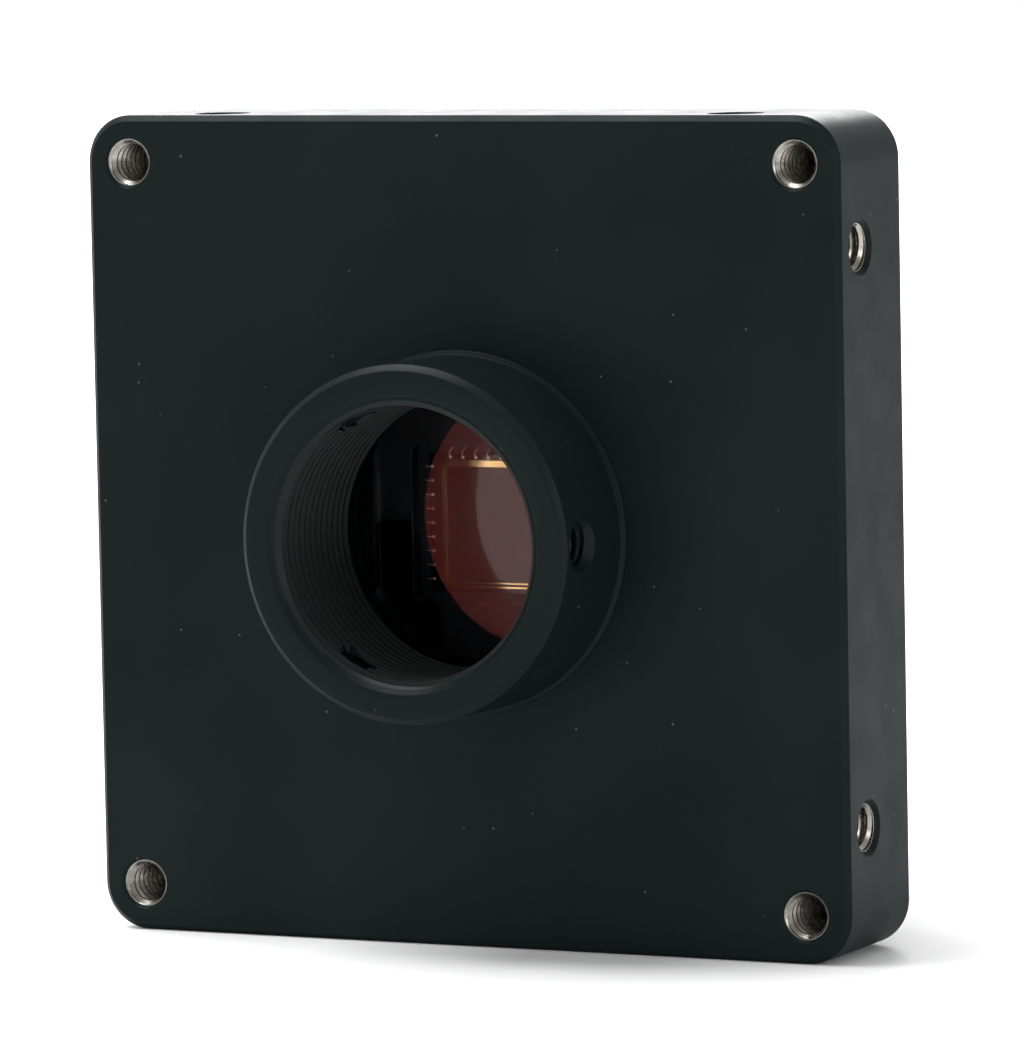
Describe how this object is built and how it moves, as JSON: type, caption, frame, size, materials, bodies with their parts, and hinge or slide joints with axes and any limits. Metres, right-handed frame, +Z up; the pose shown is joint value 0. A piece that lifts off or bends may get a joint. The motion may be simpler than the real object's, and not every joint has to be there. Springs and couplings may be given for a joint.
{
  "type": "cooled astronomy camera",
  "caption": "Square camera head with an internally threaded lens ring, a sealed filter over the sensor, and a thermoelectric cooler with a finned heat sink and fan behind.",
  "frame": {"origin": "where the lens axis meets the housing's front face", "axes": "-Y is the way the camera looks, +Z is up, +X is to the right when facing the lens ring"},
  "size_m": [0.035, 0.0286, 0.035],
  "materials": {
    "anodised_housing": "satin black anodised, bead blasted",
    "anodised_ring": "satin black anodised, turned",
    "anodised_cover": "satin black anodised, bead blasted",
    "bare_aluminium": "bare, freshly cut",
    "black_steel": "black oxide",
    "bright_steel": "bright zinc",
    "polished_steel": "ground",
    "socket_steel": "nickel plated",
    "black_rubber": "matte",
    "grey_silicone": "matte",
    "insulation_foam": "closed-cell foam",
    "filter_glass": "dichroic coating that reflects red",
    "lid_glass": "clear",
    "package_ceramic": "dark, matt",
    "silicon": "polished silicon with colour filters",
    "gold": "bright gold",
    "board_laminate": "dark green solder mask",
    "chip_epoxy": "moulded epoxy",
    "ferrite": "matte",
    "capacitor_ceramic": "fired",
    "header_plastic": "natural nylon",
    "black_plastic": "glass-filled, satin",
    "copper": "machined",
    "white_ceramic": "fired alumina",
    "pellet_alloy": "sawn",
    "bronze": "sintered",
    "magnet": "bonded ferrite",
    "lead_insulation": "red and black insulation"
  },
  "bodies": {
    "camera_body": {"front_housing": "anodised_housing", "lens_ring": "anodised_ring", "filter_seal": "black_rubber", "ir_cut_filter": "filter_glass", "sensor_lid": "lid_glass", "sensor_package": "package_ceramic", "sensor_die": "silicon", "bond_wires": "gold", "sensor_board": "board_laminate", "board_screws": "bright_steel", "image_processor": "chip_epoxy", "memory_chip": "chip_epoxy", "power_inductor": "ferrite", "board_capacitors": "capacitor_ceramic", "fan_header": "header_plastic", "cooler_header": "header_plastic", "usb_shell": "socket_steel", "usb_tongue": "black_plastic", "finger_insulation": "insulation_foam", "cold_finger": "copper", "peltier_cold_plate": "white_ceramic", "peltier_pellets": "pellet_alloy", "peltier_hot_plate": "white_ceramic", "peltier_leads": "lead_insulation", "thermal_pad": "grey_silicone", "cover_gasket": "black_rubber", "rear_cover": "anodised_cover", "cover_screws": "black_steel", "sink_gasket": "grey_silicone", "heat_sink": "bare_aluminium", "sink_screws": "bright_steel", "lead_grommet": "black_rubber", "fan_frame": "black_plastic", "fan_bearing": "bronze", "fan_stator": "copper", "fan_leads": "lead_insulation", "fan_screws": "bright_steel"},
    "fan_rotor": {"fan_impeller": "black_plastic", "fan_shaft": "polished_steel", "rotor_magnet": "magnet"},
    "lock_screw_right": {"lock_screw_right": "black_steel"},
    "lock_screw_upper": {"lock_screw_upper": "black_steel"},
    "lock_screw_lower": {"lock_screw_lower": "black_steel"}
  },
  "joints": [
    {"name": "fan_spin", "type": "hinge", "parent": "camera_body", "child": "fan_rotor", "pos_m": [0, 0.0191, 0], "axis": [0, 1, 0], "continuous": true},
    {"name": "lock_screw_right_travel", "type": "slide", "parent": "camera_body", "child": "lock_screw_right", "axis": [-1, 0, 0], "range_m": [-0.0004, 0.0005]},
    {"name": "lock_screw_upper_travel", "type": "slide", "parent": "camera_body", "child": "lock_screw_upper", "axis": [0.5, 0, -0.866], "range_m": [-0.0004, 0.0005]},
    {"name": "lock_screw_lower_travel", "type": "slide", "parent": "camera_body", "child": "lock_screw_lower", "axis": [0.5, 0, 0.866], "range_m": [-0.0004, 0.0005]}
  ]
}
